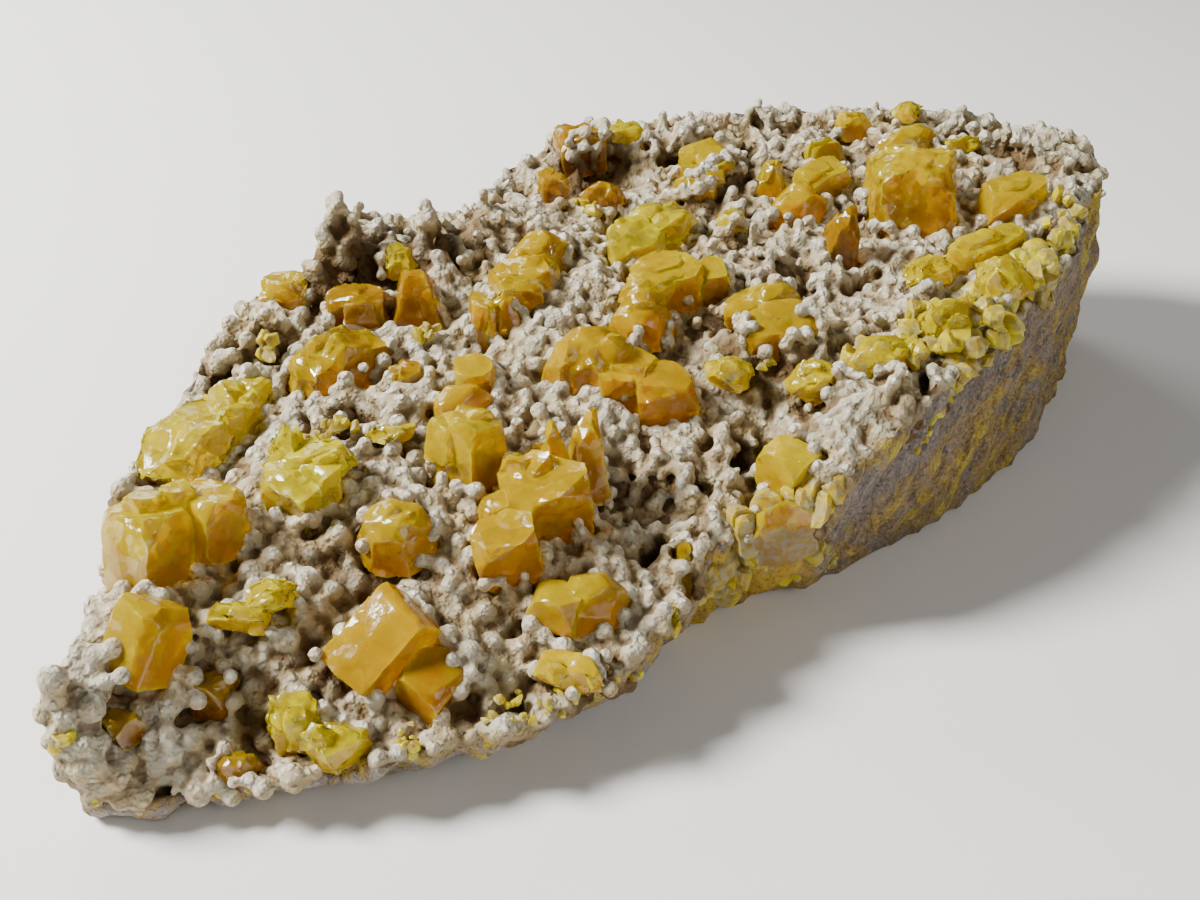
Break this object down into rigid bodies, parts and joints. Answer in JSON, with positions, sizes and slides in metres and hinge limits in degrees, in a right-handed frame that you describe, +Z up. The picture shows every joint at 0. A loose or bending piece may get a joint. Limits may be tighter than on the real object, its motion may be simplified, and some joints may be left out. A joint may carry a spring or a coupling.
{
  "type": "native sulfur crystal specimen",
  "caption": "Long slab of grey-beige crusted rock set with translucent yellow and amber sulfur crystals; a mineral specimen that rests on its flat broken base.",
  "frame": {"origin": "middle of the specimen's outer box, on the flat base that it rests on", "axes": "+X along the slab, towards its thick blunt end; +Z up, out of the crystal-covered face; -Y towards the edge where the broken side face shows"},
  "size_m": [0.2018, 0.096, 0.0475],
  "materials": {
    "matrix": "matte",
    "sulfur_honey": "gloss",
    "sulfur_lemon": "satin",
    "sulfur_amber": "gloss"
  },
  "bodies": {
    "root": {"matrix": "matrix", "sulfur_back_amber": "sulfur_honey", "sulfur_back_edge_crystal": "sulfur_honey", "sulfur_back_olive": "sulfur_amber", "sulfur_back_rough": "sulfur_honey", "sulfur_back_row": "sulfur_honey", "sulfur_bright_block": "sulfur_honey", "sulfur_centre_gem": "sulfur_honey", "sulfur_corner_amber": "sulfur_amber", "sulfur_corner_lumps": "sulfur_lemon", "sulfur_cream_cap": "sulfur_honey", "sulfur_edge_blade": "sulfur_amber", "sulfur_edge_lemon": "sulfur_lemon", "sulfur_edge_rough": "sulfur_lemon", "sulfur_edge_strips": "sulfur_lemon", "sulfur_far_glossy": "sulfur_honey", "sulfur_far_olive": "sulfur_lemon", "sulfur_far_patch": "sulfur_lemon", "sulfur_far_yellow": "sulfur_honey", "sulfur_front_gem": "sulfur_honey", "sulfur_front_rhomb": "sulfur_lemon", "sulfur_front_tablet": "sulfur_honey", "sulfur_glassy_pyramid": "sulfur_amber", "sulfur_great_block": "sulfur_honey", "sulfur_left_amber": "sulfur_amber", "sulfur_left_back_mass": "sulfur_lemon", "sulfur_left_block": "sulfur_honey", "sulfur_left_patch": "sulfur_lemon", "sulfur_left_star": "sulfur_lemon", "sulfur_left_twins": "sulfur_honey", "sulfur_lemon_row": "sulfur_lemon", "sulfur_lemon_strip": "sulfur_lemon", "sulfur_middle_group": "sulfur_honey", "sulfur_middle_olive": "sulfur_amber", "sulfur_pale_rough": "sulfur_lemon", "sulfur_rear_amber": "sulfur_amber", "sulfur_rear_lemon": "sulfur_lemon", "sulfur_rear_olive": "sulfur_amber", "sulfur_rear_small": "sulfur_amber", "sulfur_right_cream": "sulfur_honey", "sulfur_right_fan": "sulfur_lemon", "sulfur_right_gem": "sulfur_honey", "sulfur_right_glassy": "sulfur_lemon", "sulfur_right_lemon": "sulfur_lemon", "sulfur_right_lump": "sulfur_lemon", "sulfur_right_point": "sulfur_honey", "sulfur_right_slab": "sulfur_lemon", "sulfur_right_small": "sulfur_lemon", "sulfur_right_wedge": "sulfur_honey", "sulfur_side_crystal": "sulfur_honey", "sulfur_small_amber": "sulfur_amber", "sulfur_streaked_gem": "sulfur_honey", "sulfur_striated_group": "sulfur_honey", "sulfur_striated_prism": "sulfur_honey", "sulfur_tall_amber": "sulfur_amber", "sulfur_tip_amber": "sulfur_amber"}
  },
  "joints": []
}
